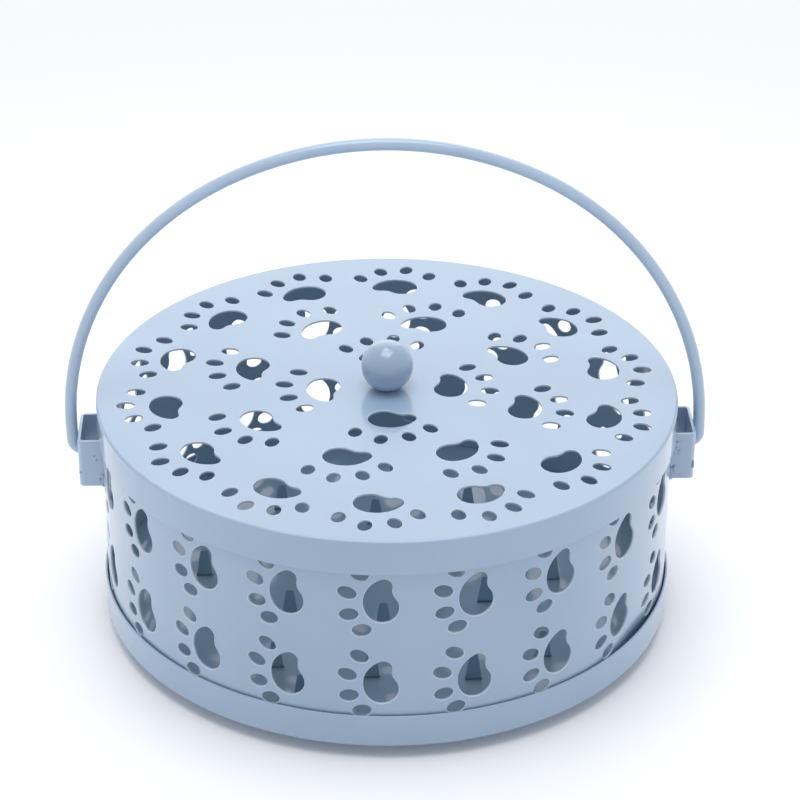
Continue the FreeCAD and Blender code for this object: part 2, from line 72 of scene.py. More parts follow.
class Hue(Enum):
    """The colours of the holder and its studio, as sRGB hex."""

    ENAMEL = "#97AEC6"
    ENAMEL_DEEP = "#93AAC3"
    ENAMEL_POOL = "#8CA3BC"
    # Paler enamel for the punched edges: a painted highlight where light catches them
    ENAMEL_EDGE_HIGHLIGHT = "#BECDDD"
    ENAMEL_EDGE_HIGHLIGHT_DEEP = "#B1C2D3"
    # Paler, greener enamel for the inside: painted light that brightens the shaded inside
    ENAMEL_INSIDE_PAINTED_LIGHT = "#A0BACF"
    ENAMEL_INSIDE_PAINTED_LIGHT_DEEP = "#98B3C8"
    # A lighter copy of the enamel for the wire and straps: painted light
    ENAMEL_PAINTED_LIGHTER = "#A9BFD5"
    ENAMEL_PAINTED_LIGHTER_DEEP = "#A3B9D0"
    ZINC = "#B9BAB8"
    ZINC_DULL = "#9C9E9E"
    FLOOR = "#FDFDFF"
    # The riser's grey-blue is painted shade: the dark under the tray that shows through its slots
    RISER_PAINTED_SHADE = "#A4B9C8"
    HAZE = "#F8FAFE"


class Axis(Enum):
    """The directions that bends, cuts and turns are made about."""

    X = (1.0, 0.0, 0.0)
    Y = (0.0, 1.0, 0.0)
    Z = (0.0, 0.0, 1.0)


class Body(Enum):
    """The bodies that pieces ride on."""

    BOX = "box"
    LID_UNIT = "lid_unit"
    BAIL = "bail"


class Look(Enum):
    """The looks of one painted sheet, as the numbers of its mesh's materials."""

    OUTSIDE = 0
    # The punched edges' look is a painted highlight
    PUNCHED_EDGE = 1
    # The inside's look is painted light, paler than the outside
    INSIDE = 2


def linear(hue: Hue) -> tuple[float, float, float, float]:
    """Turn a named sRGB colour into linear light, by the sRGB standard's curve.

    Args:
        hue: The colour.

    Returns:
        Red, green, blue and an alpha of one.
    """
    channels = [int(hue.value[i : i + 2], 16) / 255 for i in (1, 3, 5)]
    light = [c / 12.92 if c <= 0.04045 else ((c + 0.055) / 1.055) ** 2.4 for c in channels]
    return (light[0], light[1], light[2], 1.0)


def new_material(name: str) -> tuple[Material, Tree, bpy.types.Node]:
    """Start a material of nodes.

    Args:
        name: Its name.

    Returns:
        The material, its node tree and its shader.
    """
    material = bpy.data.materials.new(name)
    material.use_nodes = True
    return material, material.node_tree, material.node_tree.nodes["Principled BSDF"]


def add_node(tree: Tree, kind: str, values: dict | None = None, links: dict | None = None,
             **settings: object) -> bpy.types.Node:
    """Add a node with its settings, socket values and incoming links.

    Args:
        tree: The node tree.
        kind: The node's type.
        values: Socket name or number to value.
        links: Socket name or number to the output that feeds it.
        **settings: The node's own properties.

    Returns:
        The new node.
    """
    node = tree.nodes.new(kind)
    for name, setting in settings.items():
        setattr(node, name, setting)
    for name, value in (values or {}).items():
        node.inputs[name].default_value = value
    for name, output in (links or {}).items():
        tree.links.new(output, node.inputs[name])
    return node


def placed(points: Iterable[Point], turn: float, centre: Point) -> Outline:
    """Turn points about the origin and move the origin to a centre.

    Args:
        points: The points.
        turn: The angle in degrees.
        centre: Where the origin goes.

    Returns:
        The points in their place.
    """
    cosine, sine = math.cos(math.radians(turn)), math.sin(math.radians(turn))
    return [(centre[0] + cosine * u - sine * v, centre[1] + sine * u + cosine * v)
            for u, v in points]


def angles(start: float, end: float, steps: int) -> list[float]:
    """Space angles evenly after a start, up to and with an end.

    Args:
        start: The start in degrees, which is left out.
        end: The end in degrees.
        steps: How many angles.

    Returns:
        The angles, in radians.
    """
    return [math.radians(start + (end - start) * number / steps)
            for number in range(1, steps + 1)]


def circle(centre: Point, radius: float, steps: int) -> Outline:
    """Return a circle's points, counter-clockwise."""
    return ellipse(centre, radius, radius, 0.0, steps)


def ellipse(centre: Point, along: float, across: float, tilt: float, steps: int) -> Outline:
    """Lay points round an ellipse.

    Args:
        centre: Its centre.
        along: Half its long axis.
        across: Half its short axis.
        tilt: The long axis's angle, in degrees.
        steps: How many points.

    Returns:
        The points, counter-clockwise.
    """
    turns = [TAU * number / steps for number in range(steps)]
    return placed([(along * math.cos(turn), across * math.sin(turn)) for turn in turns],
                  tilt, centre)


def arc(centre: Point, radius: float, start: float, end: float, steps: int) -> Outline:
    """Lay points along an arc.

    Args:
        centre: Its centre.
        radius: Its radius.
        start: The angle of its first point, in degrees.
        end: The angle that it runs to, in degrees, whose point is left out.
        steps: How many points.

    Returns:
        The points.
    """
    turns = [math.radians(start + (end - start) * number / steps) for number in range(steps)]
    return [(centre[0] + radius * math.cos(turn), centre[1] + radius * math.sin(turn))
            for turn in turns]


def of_kind(items: Iterable, kind: type) -> list:
    """Return the items of one kind from what an operator made."""
    return [item for item in items if isinstance(item, kind)]


def whole(tool: Mesh) -> list:
    """Return all of a bmesh's vertices, edges and faces."""
    return [*tool.verts, *tool.edges, *tool.faces]


def link_mesh(name: str, tool: Mesh, material: Material) -> Piece:
    """Turn a bmesh in millimetres into an object in metres.

    Args:
        name: The object's name.
        tool: The bmesh, which is freed.
        material: Its finish.

    Returns:
        The new object, at the origin.
    """
    bmesh.ops.scale(tool, vec=(MM, MM, MM), verts=tool.verts)
    mesh = bpy.data.meshes.new(name)
    tool.to_mesh(mesh)
    tool.free()
    mesh.materials.append(material)
    made = bpy.data.objects.new(name, mesh)
    bpy.context.scene.collection.objects.link(made)
    return made


def finish_piece(name: str, tool: Mesh, material: Material, body: Body,
                 node: str) -> Piece:
    """Turn a bmesh in millimetres into a piece that rides on a body.

    Args:
        name: The piece's name.
        tool: The bmesh, which is freed.
        material: Its finish.
        body: The body it rides on.
        node: The CAD node it stands for.

    Returns:
        The new piece, smooth, with its faces outwards.
    """
    bmesh.ops.recalc_face_normals(tool, faces=tool.faces)
    for face in tool.faces:
        face.smooth = True
    piece = link_mesh(name, tool, material)
    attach(piece, body.value)
    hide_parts(node)
    LOG.info("%s: %d faces on body %s", name, len(piece.data.polygons), body.value)
    return piece


def even_shading(piece: Piece, sharp: float | None = None) -> None:
    """Let broad faces set the shading beside narrow ones.

    Args:
        piece: The piece.
        sharp: The angle in degrees past which an edge stays sharp, if any does.
    """
    if sharp is not None:
        piece.data.set_sharp_from_angle(angle=math.radians(sharp))
    shading = piece.modifiers.new("even_shading", "WEIGHTED_NORMAL")
    shading.keep_sharp = True
    # Past 50, the broader face counts more
    shading.weight = 60


def add_loop(tool: Mesh, points: Iterable[Point], height: float) -> list:
    """Add a closed loop of edges at a height.

    Args:
        tool: The bmesh.
        points: The loop's points.
        height: Its Z.

    Returns:
        The loop's edges, in order.
    """
    verts = [tool.verts.new((x, y, height)) for x, y in points]
    return [tool.edges.new((vert, verts[(number + 1) % len(verts)]))
            for number, vert in enumerate(verts)]


def pull_loop(tool: Mesh, edges: list, move: Move, look: Look = Look.OUTSIDE) -> list:
    """Extrude a loop or a line of edges and move the new one.

    Args:
        tool: The bmesh.
        edges: The loop or line.
        move: Says where each of its points goes.
        look: The look that the new faces take.

    Returns:
        The edges of the new loop or line.
    """
    old = {vert for edge in edges for vert in edge.verts}
    made = bmesh.ops.extrude_edge_only(tool, edges=edges)["geom"]
    for face in of_kind(made, bmesh.types.BMFace):
        face.material_index = look.value
    for vert in of_kind(made, bmesh.types.BMVert):
        vert.co = move(vert.co.copy())
    return [edge for edge in of_kind(made, bmesh.types.BMEdge)
            if old.isdisjoint(edge.verts)]


def pull_rings(tool: Mesh, edges: list, stations: Iterable[Point]) -> list:
    """Pull a round loop about the Z axis through a row of stations.

    Args:
        tool: The bmesh.
        edges: The loop.
        stations: The reach and height of each station.

    Returns:
        The last loop's edges.
    """
    for reach, height in stations:
        edges = pull_loop(tool, edges, lambda point: Vector(
            (*(point.xy.normalized() * reach), height)))
    return edges


def paint_level(tool: Mesh, height: float) -> None:
    """Give the level faces at a height the look of the inside, which is painted light.

    Args:
        tool: The bmesh.
        height: The height.
    """
    for face in tool.faces:
        if all(abs(vert.co.z - height) < NEAR for vert in face.verts):
            face.material_index = Look.INSIDE.value


@dataclass(frozen=True)
class StovedEnamel:
    """Stoved enamel on steel: sprayed, then baked, so it is even, with a soft satin gloss.

    The eye gets a nearly flat colour, a broad highlight with a faint orange peel and a few
    nibs of dust in it, and paint that pools a little paler or deeper over a few centimetres.
    """

    name: str
    base: Hue = Hue.ENAMEL
    deep: Hue = Hue.ENAMEL_DEEP
    roughness: float = 0.36
    roughness_spread: float = 0.03
    ior: float = 1.5
    coat: float = 0.9
    coat_roughness: float = 0.05
    cloud_mm: float = 34.0
    cloud_range: tuple[float, float] = (0.35, 0.65)
    peel_mm: float = 1.6
    peel_depth_mm: float = 0.003
    nib_mm: float = 5.5
    nib_share: float = 0.07
    nib_depth_mm: float = 0.02

    def build(self) -> Material:
        """Make the material.

        Returns:
            The material, with its patterns on Object coordinates.
        """
        material, tree, shader = new_material(self.name)
        shader.inputs["IOR"].default_value = self.ior
        shader.inputs["Coat Weight"].default_value = self.coat
        shader.inputs["Coat Roughness"].default_value = self.coat_roughness
        where = add_node(tree, "ShaderNodeTexCoord").outputs["Object"]
        cloud = add_node(tree, "ShaderNodeTexNoise", {"Scale": 1 / (self.cloud_mm * MM),
                         "Detail": 2.0, "Roughness": 0.5}, {"Vector": where}).outputs["Fac"]
        low, high = self.cloud_range
        soft = add_node(tree, "ShaderNodeMapRange", {"From Min": low, "From Max": high},
                        {"Value": cloud})
        colour = add_node(tree, "ShaderNodeMix", {6: linear(self.deep), 7: linear(self.base)},
                          {0: soft.outputs[0]}, data_type="RGBA")
        tree.links.new(colour.outputs[2], shader.inputs["Base Color"])
        gloss = add_node(tree, "ShaderNodeMapRange",
                         {"To Min": self.roughness - self.roughness_spread,
                          "To Max": self.roughness + self.roughness_spread}, {"Value": cloud})
        tree.links.new(gloss.outputs[0], shader.inputs["Roughness"])
        peel = add_node(tree, "ShaderNodeTexNoise", {"Scale": 1 / (self.peel_mm * MM),
                        "Detail": 1.0}, {"Vector": where})
        rough = add_node(tree, "ShaderNodeBump", {"Strength": 1.0,
                         "Distance": self.peel_depth_mm * MM}, {"Height": peel.outputs["Fac"]})
        nibs = add_node(tree, "ShaderNodeTexVoronoi", {"Scale": 1 / (self.nib_mm * MM)},
                        {"Vector": where})
        dots = add_node(tree, "ShaderNodeMapRange", {"From Max": self.nib_share,
                        "To Min": 1.0, "To Max": 0.0}, {"Value": nibs.outputs["Distance"]})
        spotted = add_node(tree, "ShaderNodeBump", {"Strength": 1.0,
                           "Distance": self.nib_depth_mm * MM},
                           {"Height": dots.outputs[0], "Normal": rough.outputs[0]})
        tree.links.new(spotted.outputs[0], shader.inputs["Normal"])
        return material


@dataclass(frozen=True)
class PaintedSheet:
    """The three looks of one painted sheet: its outside, its punched edges and its inside.

    The punched edges are paler, a painted highlight where light catches them, and the inside is
    paler and greener, painted light that brightens the shaded inside.
    """

    outside: Material
    punched_edge: Material
    inside: Material

    def dress(self, piece: Piece) -> None:
        """Add the two further looks after the piece's own material."""
        piece.data.materials.append(self.punched_edge)
        piece.data.materials.append(self.inside)


@dataclass(frozen=True)
class ZincPlate:
    """Zinc plate on a steel screw: tumbled in a barrel, so it is a dull, mottled grey metal."""

    name: str
    base: Hue = Hue.ZINC
    dull: Hue = Hue.ZINC_DULL
    roughness: float = 0.34
    mottle_mm: float = 1.1
    mottle_depth_mm: float = 0.01

    def build(self) -> Material:
        """Make the material.

        Returns:
            The material, with its mottle on Object coordinates.
        """
        material, tree, shader = new_material(self.name)
        shader.inputs["Metallic"].default_value = 1.0
        shader.inputs["Roughness"].default_value = self.roughness
        where = add_node(tree, "ShaderNodeTexCoord").outputs["Object"]
        mottle = add_node(tree, "ShaderNodeTexNoise", {"Scale": 1 / (self.mottle_mm * MM),
                          "Detail": 3.0}, {"Vector": where}).outputs["Fac"]
        colour = add_node(tree, "ShaderNodeMix", {6: linear(self.dull), 7: linear(self.base)},
                          {0: mottle}, data_type="RGBA")
        tree.links.new(colour.outputs[2], shader.inputs["Base Color"])
        bump = add_node(tree, "ShaderNodeBump", {"Strength": 0.6,
                        "Distance": self.mottle_depth_mm * MM}, {"Height": mottle})
        tree.links.new(bump.outputs[0], shader.inputs["Normal"])
        return material


@dataclass(frozen=True)
class Toe:
    """One toe of a paw: its centre sideways and outward of the pad, and its long axis's angle."""

    side: float
    out: float
    tilt: float


@dataclass(frozen=True)
class PawPunch:
    """The punch that cuts a paw: a pad of four tangent arcs and four oval toes.

    The lobe and the heel are the pad's two ends, each a centre sideways and outward and a
    radius. The crown's arc joins them in front and the notch's arc behind.
    """

    toes: tuple[Toe, ...]
    toe_half_length: float = 2.65
    toe_half_width: float = 1.95
    lobe: Place = (-1.8, -0.3, 4.6)
    heel: Place = (4.93, -0.8, 2.3)
    crown: float = 7.96
    notch: float = 4.05
    toe_steps: int = 24
    pad_steps: tuple[int, int, int, int] = (14, 5, 9, 14)

    def pad(self) -> Outline:
        """Lay the pad's outline.

        Returns:
            The points, counter-clockwise, sideways and outward.
        """
        low, high = Vector(self.lobe[:2]), Vector(self.heel[:2])
        low_reach, high_reach = self.lobe[2], self.heel[2]
        span = (high - low).length
        along = (high - low) / span
        down = Vector((along.y, -along.x))

        def meet(from_low: float, from_high: float) -> Vector:
            """Return the point behind the pad at these distances from its two ends."""
            forward = (from_low**2 - from_high**2 + span**2) / (2 * span)
            return low + along * forward + down * math.sqrt(from_low**2 - forward**2)

        def bearing(centre: Vector, point: Vector) -> float:
            """Return the direction of a point from a centre, in degrees."""
            return math.degrees(math.atan2(point.y - centre.y, point.x - centre.x))

        crown = meet(self.crown - low_reach, self.crown - high_reach)
        notch = meet(self.notch + low_reach, self.notch + high_reach)
        arcs = [(low, low_reach, bearing(crown, low), bearing(low, notch) + 360),
                (notch, self.notch, bearing(notch, low), bearing(notch, high)),
                (high, high_reach, bearing(high, notch), bearing(crown, high)),
                (crown, self.crown, bearing(crown, high), bearing(crown, low))]
        outline = []
        for (centre, reach, start, end), steps in zip(arcs, self.pad_steps):
            outline += arc(tuple(centre), reach, start, end, steps)
        return outline

    def holes(self) -> list[Outline]:
        """Lay the five holes' outlines.

        Returns:
            The pad and the toes.
        """
        ovals = [ellipse((toe.side, toe.out), self.toe_half_length, self.toe_half_width,
                         toe.tilt, self.toe_steps) for toe in self.toes]
        return [self.pad(), *ovals]


LID_PUNCH = PawPunch((Toe(-9.77, 7.3, 100), Toe(-2.63, 11.1, 100), Toe(5.1, 9.55, 72),
                      Toe(11.05, 4.9, 60)))
WALL_PUNCH = PawPunch((Toe(-8.95, 5.03, 102), Toe(-4.2, 8.5, 101), Toe(2.6, 8.95, 72),
                       Toe(8.63, 5.69, 65)))


@dataclass(frozen=True)
class PunchedSheet:
    """A flat sheet, top skin at height zero, with holes whose edges the paint has rounded.

    The middle of a rounding lies in from its corner by a share of its radius, one for the top
    skin and one for the under skin, which is rounded half as much.
    """

    sheet: float
    roll: float = 0.2
    middles: Point = (0.29, 0.3)

    def cut_hole(self, tool: Mesh, outline: Outline) -> tuple[list, list]:
        """Add one hole's walls, from the top skin to the under skin.

        Args:
            tool: The bmesh.
            outline: The hole.

        Returns:
            The loops of edges that the top and the under skin are filled up to.
        """
        points = [Vector((*point, 0)) for point in outline]
        centre = sum(points, Vector()) / len(points)
        reach = sum((point - centre).length for point in points) / len(points)
        share = 1 + self.roll / reach
        first = add_loop(tool, [(centre + (point - centre) * share).xy for point in points], 0)
        loop = first
        over, under = self.roll, self.roll / 2
        over_middle, under_middle = over * self.middles[0], under * self.middles[1]
        for grow, height in ((over_middle, -over_middle), (0.0, -over),
                             (0.0, under - self.sheet),
                             (under_middle, under_middle - self.sheet), (under, -self.sheet)):
            wider = 1 + grow / reach
            change = wider / share
            # The hole's walls take the punched edges' look, a painted highlight
            loop = pull_loop(tool, loop, lambda point: Vector(
                (*(centre + (point - centre) * change).xy, height)), Look.PUNCHED_EDGE)
            share = wider
        return first, loop

    def cut_holes(self, tool: Mesh, outlines: Iterable[Outline]) -> tuple[list, list]:
        """Add the walls of some holes.

        Args:
            tool: The bmesh.
            outlines: The holes.

        Returns:
            The loops in the top skin and the loops in the under skin.
        """
        pairs = [self.cut_hole(tool, outline) for outline in outlines]
        return [top for top, _ in pairs], [under for _, under in pairs]

    @staticmethod
    def fill(tool: Mesh, loops: list[list]) -> None:
        """Fill between an outer loop and the holes in it."""
        edges = [edge for loop in loops for edge in loop]
        bmesh.ops.triangle_fill(tool, use_beauty=True, use_dissolve=False, edges=edges)


@dataclass
class LidUnit:
    """The drawn lid with its three rings of paws, the ball knob and the knob's screw."""

    paint: PaintedSheet
    knob_enamel: Material
    zinc: Material
    radius: float = 82.5
    top: float = 65.4
    skirt: float = 10.3
    sheet: float = 0.7
    edge: float = 0.75
    # The skirt's lip: how far in and how far up from its outer corner, and the inner chamfer
    outer_lip: tuple[Point, ...] = ((0.0, 0.25), (0.08, 0.07), (0.25, 0.0))
    inner_lip: float = 0.2
    bore: float = 2.15
    bore_steps: int = 20
    rim_steps: int = 224
    # Each ring's count of paws, its radius, the first paw's angle and the paws' own turn
    rings: tuple[tuple[int, float, float, float], ...] = (
        (14, 63.1, 8.7, 0.0), (8, 40.4, 27.1, 13.6), (4, 18.2, 1.4, -3.5))
    knob_radius: float = 7.4
    knob_lift: float = 7.0
    knob_segments: tuple[int, int] = (64, 40)
    knob_seat_edge: float = 0.25
    head_radius: float = 3.9
    head_height: float = 2.2
    # The domed head: shares of its radius, and heights over its lowest point
    head_dome: tuple[Point, ...] = ((0.55, 0.06), (0.82, 0.35), (0.97, 0.95), (1.0, 1.5))
    head_edge: float = 0.1
    # The cross recess: half the width of its arms, their length and its depth
    recess: Place = (0.62, 2.1, 1.3)
    screw_radius: float = 1.95
    screw_grip: float = 8.0
    screw_point: float = 0.5
    screw_steps: int = 40
    pole: float = 0.01

    def build(self) -> None:
        """Make the three pieces."""
        self.make_lid()
        self.make_knob()
        self.make_screw()

    def punches(self) -> list[Outline]:
        """Lay out the lid's holes.

        Returns:
            The screw's bore and the three rings of paws.
        """
        holes = [circle((0, 0), self.bore, self.bore_steps)]
        for count, reach, start, turn in self.rings:
            for number in range(count):
                angle = start + 360 * number / count
                centre = placed([(reach, 0)], angle, (0, 0))[0]
                for hole in LID_PUNCH.holes():
                    flat = [(out, side) for side, out in reversed(hole)]
                    holes.append(placed(flat, angle + turn, centre))
        return holes

    def make_lid(self) -> None:
        """Fill the punched top, then draw its rim down to the skirt and back up inside."""
        tool = bmesh.new()
        punched = PunchedSheet(self.sheet)
        tops, unders = punched.cut_holes(tool, self.punches())
        flat, inside = self.radius - self.edge, self.radius - self.sheet
        inner = self.edge - self.sheet
        stations = [(flat + self.edge * math.sin(t), self.edge * (math.cos(t) - 1))
                    for t in angles(0, 90, 6)]
        stations.append((self.radius, -self.skirt / 2))
        stations += [(self.radius - inward, up - self.skirt) for inward, up in self.outer_lip]
        stations += [(inside + self.inner_lip, -self.skirt),
                     (inside, self.inner_lip - self.skirt)]
        stations += [(flat + inner * math.sin(t), inner * math.cos(t) - self.edge)
                     for t in (math.pi / 2, *angles(90, 0, 3))]
        rim = add_loop(tool, circle((0, 0), flat, self.rim_steps), 0.0)
        unders.append(pull_rings(tool, rim, stations))
        punched.fill(tool, [*tops, rim])
        punched.fill(tool, unders)
        bmesh.ops.translate(tool, vec=(0, 0, self.top), verts=tool.verts)
        paint_level(tool, self.top - self.sheet)
        piece = finish_piece("lid_shell", tool, self.paint.outside, Body.LID_UNIT,
                             "lid")
        self.paint.dress(piece)
        even_shading(piece)

    def make_knob(self) -> None:
        """Turn a ball whose underside is cut to a flat seat."""
        tool = bmesh.new()
        across, up = self.knob_segments
        bmesh.ops.create_uvsphere(tool, u_segments=across, v_segments=up,
                                  radius=self.knob_radius)
        bmesh.ops.bisect_plane(tool, geom=whole(tool), plane_co=(0, 0, -self.knob_lift),
                               plane_no=Axis.Z.value, clear_inner=True)
        rim = [edge for edge in tool.edges if edge.is_boundary]
        bmesh.ops.holes_fill(tool, edges=rim, sides=0)
        bmesh.ops.bevel(tool, geom=rim, offset=self.knob_seat_edge, affect="EDGES",
                        segments=2, profile=0.5, material=-1)
        bmesh.ops.translate(tool, vec=(0, 0, self.top + self.knob_lift), verts=tool.verts)
        even_shading(finish_piece("knob_ball", tool, self.knob_enamel, Body.LID_UNIT,
                                  "knob"))

    def make_screw(self) -> None:
        """Turn the screw: a domed pan head with a cross recess, and a shank."""
        tool = bmesh.new()
        head, shank = self.head_radius, self.screw_radius
        seat, end = self.top - self.sheet, self.top + self.screw_grip
        low = seat - self.head_height
        profile = [(self.pole, low)]
        profile += [(head * share, low + height) for share, height in self.head_dome]
        profile += [(head, seat - self.head_edge), (head - self.head_edge, seat),
                    (shank, seat), (shank, end - self.screw_point),
                    (shank - self.screw_point, end), (self.pole, end)]
        spin_profile(tool, profile, self.screw_steps)
        cross_recess(tool, low, *self.recess)
        even_shading(finish_piece("knob_screw_zinc", tool, self.zinc, Body.LID_UNIT,
                                  "knob_screw"), sharp=40)


def spin_profile(tool: Mesh, profile: Sequence[Point], steps: int) -> None:
    """Spin a profile of reach and height a full turn about the Z axis.

    Args:
        tool: The bmesh.
        profile: The profile, from its lower end.
        steps: How many steps the turn has.
    """
    verts = [tool.verts.new((reach, 0, height)) for reach, height in profile]
    edges = [tool.edges.new(pair) for pair in zip(verts, verts[1:])]
    bmesh.ops.spin(tool, geom=[*verts, *edges], cent=(0, 0, 0), axis=Axis.Z.value,
                   angle=TAU, steps=steps, use_merge=True, use_duplicate=False)
    # Draws the small circle round each pole together, down to a pinhole 0.02 mm across
    bmesh.ops.remove_doubles(tool, verts=tool.verts, dist=0.012)


def cross_recess(tool: Mesh, low: float, half: float, reach: float, depth: float) -> None:
    """Press a cross recess into a head, by pushing in what lies under the cross.

    Args:
        tool: The bmesh.
        low: The height of the head's lowest point.
        half: Half the width of the cross's arms.
        reach: How far the arms reach out.
        depth: How deep the recess is in the middle.
    """
    face_height = 0.3
    for vert in tool.verts:
        near = min(abs(vert.co.x), abs(vert.co.y)) < half
        if near and vert.co.z < low + face_height and vert.co.xy.length < reach:
            vert.co.z += depth * (1 - vert.co.xy.length / reach)


@dataclass
class Wall:
    """The rolled strip with two rows of paws, standing on the tray's floor."""

    paint: PaintedSheet
    radius: float = 81.4
    sheet: float = 0.7
    foot: float = 0.7
    top: float = 64.7
    soft: float = 0.15
    columns: int = 20
    first_column: float = -92.83
    pad_aside: float = 3.4
    rows: Point = (20.1, 46.05)
    slices: int = 14
    bends: tuple[float, ...] = (5.0, 10.0, 15.0, 20.5, 27.0)
    # The bow at the foot: its depth, its middle and spread in degrees, and how high it fades
    bow: tuple[float, float, float, float] = (2.5, -32.0, 9.0, 27.0)
    bow_power: float = 1.3
    # How far the pattern slips round in degrees: at the right, and how much less at the left
    drift: Point = (1.2, 1.0)
    drift_ramp: float = 2.2
    sag: float = 1.3
    sag_ramp: float = 5.0

    def build(self) -> None:
        """Punch one column's sector flat, repeat it, and roll it round."""
        tool = bmesh.new()
        pitch = TAU * self.radius / self.columns
        self.punch_sector(tool, pitch / 2)
        for number in range(1, self.slices):
            across = pitch * (number / self.slices - 0.5)
            bmesh.ops.bisect_plane(tool, geom=whole(tool), plane_co=(across, 0, 0),
                                   plane_no=Axis.X.value, dist=NEAR / 10)
        for height in self.bends:
            bmesh.ops.bisect_plane(tool, geom=whole(tool), plane_co=(0, height, 0),
                                   plane_no=Axis.Y.value, dist=NEAR / 10)
        bmesh.ops.recalc_face_normals(tool, faces=tool.faces)
        sector = whole(tool)
        for number in range(1, self.columns):
            made = bmesh.ops.duplicate(tool, geom=sector)["geom"]
            bmesh.ops.translate(tool, vec=(pitch * number, 0, 0),
                                verts=of_kind(made, bmesh.types.BMVert))
        for vert in tool.verts:
            vert.co = self.rolled(vert.co.copy())
        bmesh.ops.remove_doubles(tool, verts=tool.verts, dist=NEAR * 10)
        piece = finish_piece("wall_strip", tool, self.paint.outside, Body.BOX,
                             "wall_band")
        self.paint.dress(piece)
        self.shade_round(piece)

    def punch_sector(self, tool: Mesh, half: float) -> None:
        """Punch a flat sector with one column's paws, upright on the Y axis.

        Args:
            tool: The bmesh.
            half: Half the sector's width.
        """
        punched = PunchedSheet(self.sheet)
        tops, unders = punched.cut_holes(tool, [
            [(self.pad_aside - out, row + side) for side, out in hole]
            for row in self.rows for hole in WALL_PUNCH.holes()])
        low, high = self.foot + self.soft, self.top - self.soft
        frame = [(-half, low), (half, low), (half, high), (-half, high)]
        outer = add_loop(tool, frame, 0.0)
        punched.fill(tool, [*tops, outer])
        punched.fill(tool, [*unders, add_loop(tool, frame, -self.sheet)])
        paint_level(tool, -self.sheet)
        for side, skin, edge in ((outer[0], low, self.foot), (outer[2], high, self.top)):
            line = [side]
            for height, depth in ((edge, -self.soft), (edge, self.soft - self.sheet),
                                  (skin, -self.sheet)):
                line = pull_loop(tool, line,
                                 lambda point: Vector((point.x, height, depth)))

    def rolled(self, point: Vector) -> Vector:
        """Say where a point of the flat strip lies on the rolled wall.

        Args:
            point: The point.

        Returns:
            Its place about the Z axis.
        """
        degrees = self.first_column + math.degrees((point.x - self.pad_aside) / self.radius)
        slip, drop = self.rolled_off(degrees, point.y)
        reach = self.radius + point.z - self.bowed_in(degrees, point.y)
        angle = math.radians(degrees - slip)
        return Vector((reach * math.cos(angle), reach * math.sin(angle), point.y - drop))

    def rolled_off(self, degrees: float, height: float) -> Point:
        """Say how far the punched pattern has run off true at the back.

        Args:
            degrees: The place round the wall.
            height: The height above the table.

        Returns:
            How far it has slipped round, in degrees, and how far it lies low.
        """
        turn = degrees % 360
        back = min(1.0, self.drift_ramp * max(0.0, math.sin(math.radians(turn))))
        inside = min(self.sag_ramp, height - self.foot, self.top - height) / self.sag_ramp
        near, far = self.drift
        return back * (near - far * turn / 180), back * max(0.0, inside) * self.sag

    def bowed_in(self, degrees: float, height: float) -> float:
        """Say how far the foot is bowed in from the rim at the right front.

        Args:
            degrees: The place round the wall.
            height: The height above the table.

        Returns:
            The depth, which fades with height and to both sides.
        """
        depth, middle, spread, fade = self.bow
        aside = (degrees - middle + 180) % 360 - 180
        low = max(0.0, 1 - (height - self.foot) / fade)
        return depth * math.exp(-((aside / spread) ** 2)) * low**self.bow_power

    def shade_round(self, piece: Piece) -> None:
        """Give both skins the normals of a rolled sheet, and leave the hole edges as they are.

        Args:
            piece: The wall's piece.
        """
        normals = []
        skin = 0.01
        for vert in piece.data.vertices:
            outward = Vector((vert.co.x, vert.co.y, 0))
            degrees = math.degrees(math.atan2(outward.y, outward.x))
            bowed = self.bowed_in(degrees, vert.co.z / MM)
            depth = self.radius - bowed - outward.length / MM
            if depth < skin:
                normals.append(outward.normalized())
            elif depth > self.sheet - skin:
                normals.append(-outward.normalized())
            else:
                normals.append(vert.normal.copy())
        piece.data.normals_split_custom_set_from_vertices(normals)


